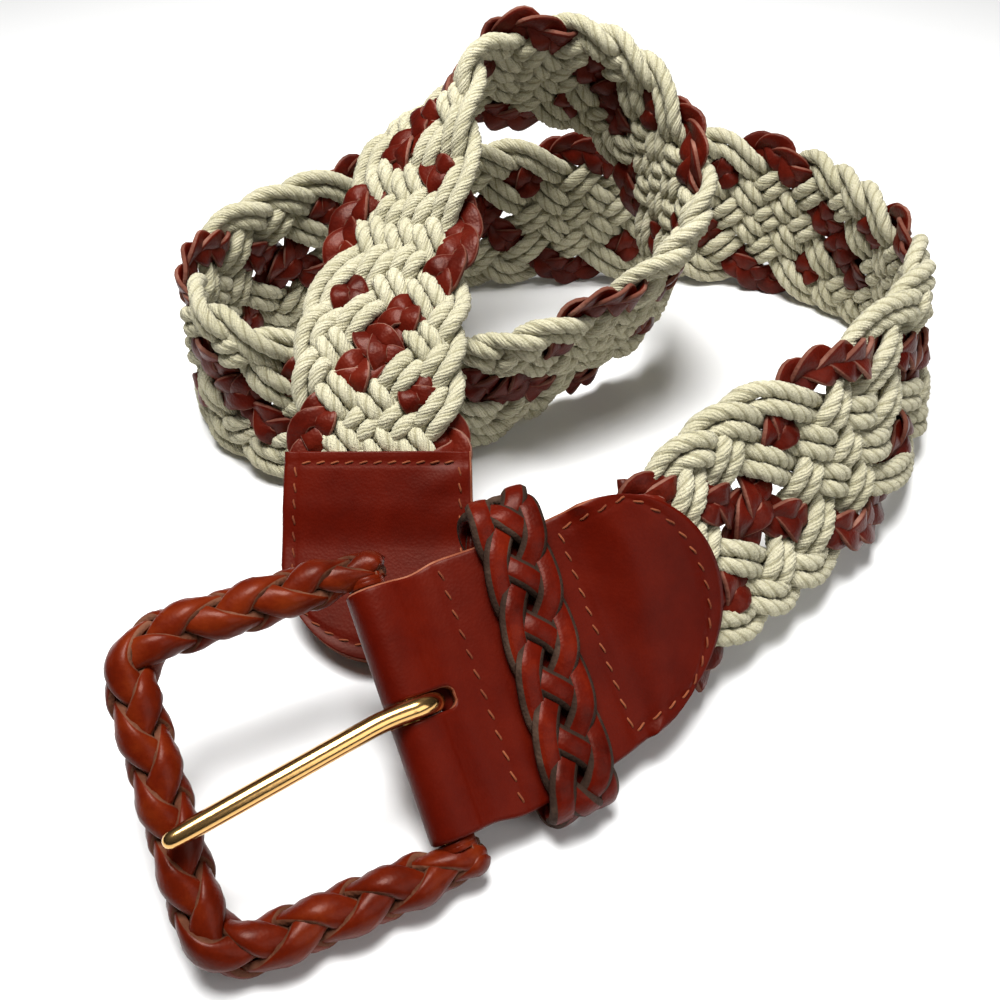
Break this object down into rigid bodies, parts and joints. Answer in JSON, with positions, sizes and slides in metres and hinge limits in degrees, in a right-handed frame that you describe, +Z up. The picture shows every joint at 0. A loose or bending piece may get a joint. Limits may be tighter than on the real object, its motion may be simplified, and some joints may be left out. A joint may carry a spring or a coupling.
{
  "type": "braided leather belt",
  "caption": "Belt lying coiled: a flat diagonal plait of cotton cords and leather braids, with sewn leather tabs, a leather-wrapped square buckle, a brass prong and a plaited keeper.",
  "frame": {"origin": "centre of the coiled belt's footprint, on the surface that it lies on", "axes": "+Z up from the surface; -Y towards the side that the buckle's lower edge faces; +X towards the right-hand bend"},
  "size_m": [0.2038, 0.2314, 0.0939],
  "materials": {
    "cotton": "matte twisted cotton cord",
    "leather": "semi-gloss cognac leather",
    "plait": "glossy plaited leather",
    "brass": "polished"
  },
  "bodies": {
    "strap": {"strap_weave_outer": "cotton", "strap_weave_inner": "cotton", "buckle_tab": "leather", "tip_tab": "leather", "keeper": "plait"},
    "frame": {"buckle_bar": "brass", "buckle_wrap": "plait"},
    "prong": {"prong": "brass"}
  },
  "joints": [
    {"name": "buckle_swing", "type": "hinge", "parent": "strap", "child": "frame", "pos_m": [-0.03523, -0.0716, 0.02078], "axis": [-0.3493, 0.7832, 0.5144], "range_deg": [0, 45]},
    {"name": "prong_swing", "type": "hinge", "parent": "frame", "child": "prong", "pos_m": [-0.03523, -0.0716, 0.02078], "axis": [-0.3493, 0.7832, 0.5144], "range_deg": [0, 70]}
  ]
}
